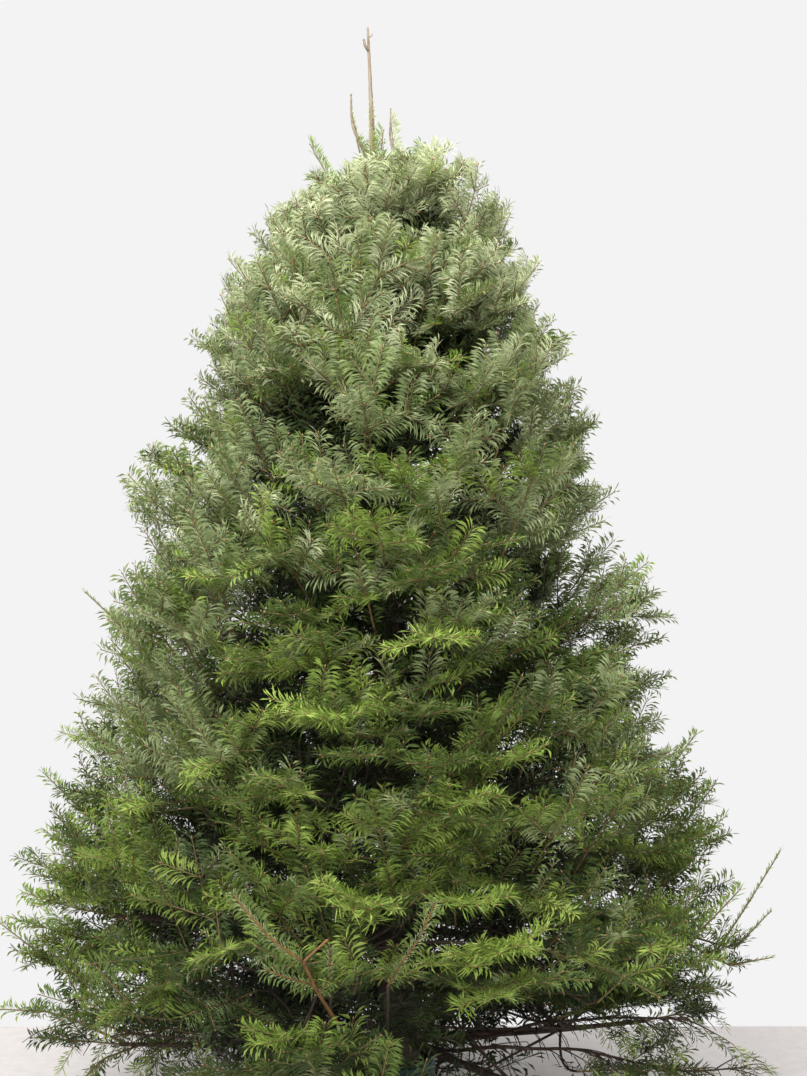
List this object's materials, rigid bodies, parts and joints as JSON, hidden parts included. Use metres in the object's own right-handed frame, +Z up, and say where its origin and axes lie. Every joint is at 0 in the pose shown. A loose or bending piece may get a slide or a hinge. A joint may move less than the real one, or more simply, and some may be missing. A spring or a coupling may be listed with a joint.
{
  "type": "cut christmas tree in a stand",
  "caption": "Whole cut fir, sheared to a full cone with a bare leader, standing in a round green plastic tree stand with clamping screws.",
  "frame": {"origin": "on the floor under the middle of the stand, on its flat underside", "axes": "+Z up along the tree, -Y towards the side that the picture shows, +X to the right in the picture"},
  "size_m": [1.5063, 1.3256, 2.1631],
  "materials": {
    "trunk_bark": "rough bark",
    "bough_bark": "smooth young bark",
    "needles_dark": "soft matt needles",
    "needles_mid": "soft matt needles",
    "needles_pale": "soft matt needles",
    "stand_plastic": "satin moulded plastic",
    "steel": "plain zinc plated"
  },
  "bodies": {
    "root": {"bough_1_1": "bough_bark", "bough_1_2": "bough_bark", "bough_1_3": "bough_bark", "bough_1_4": "bough_bark", "bough_1_5": "bough_bark", "bough_1_6": "bough_bark", "bough_2_1": "bough_bark", "bough_2_2": "bough_bark", "bough_2_3": "bough_bark", "bough_2_4": "bough_bark", "bough_2_5": "bough_bark", "bough_2_6": "bough_bark", "bough_3_1": "bough_bark", "bough_3_2": "bough_bark", "bough_3_3": "bough_bark", "bough_3_4": "bough_bark", "bough_3_5": "bough_bark", "foliage_1_1": "needles_dark", "foliage_1_2": "needles_dark", "foliage_1_3": "needles_dark", "foliage_1_4": "needles_dark", "foliage_1_5": "needles_dark", "foliage_1_6": "needles_dark", "foliage_2_1": "needles_dark", "foliage_2_2": "needles_dark", "foliage_2_3": "needles_dark", "foliage_2_4": "needles_dark", "foliage_2_5": "needles_dark", "foliage_2_6": "needles_dark", "foliage_3_1": "needles_mid", "foliage_3_2": "needles_mid", "foliage_3_3": "needles_mid", "foliage_3_4": "needles_mid", "foliage_3_5": "needles_mid", "foliage_4_1": "needles_mid", "foliage_4_2": "needles_mid", "foliage_4_3": "needles_mid", "foliage_4_4": "needles_mid", "foliage_4_5": "needles_mid", "foliage_5_1": "needles_mid", "foliage_5_2": "needles_mid", "foliage_5_3": "needles_mid", "foliage_5_4": "needles_mid", "foliage_6_1": "needles_pale", "foliage_6_2": "needles_pale", "foliage_6_3": "needles_pale", "foliage_6_4": "needles_pale", "foliage_7_1": "needles_pale", "foliage_7_2": "needles_pale", "foliage_7_3": "needles_pale", "foliage_top_left": "needles_pale", "foliage_top_right": "needles_pale", "stand_body": "stand_plastic", "stand_screw_1": "steel", "stand_screw_2": "steel", "stand_screw_3": "steel", "stand_screw_4": "steel", "trunk": "trunk_bark"}
  },
  "joints": []
}
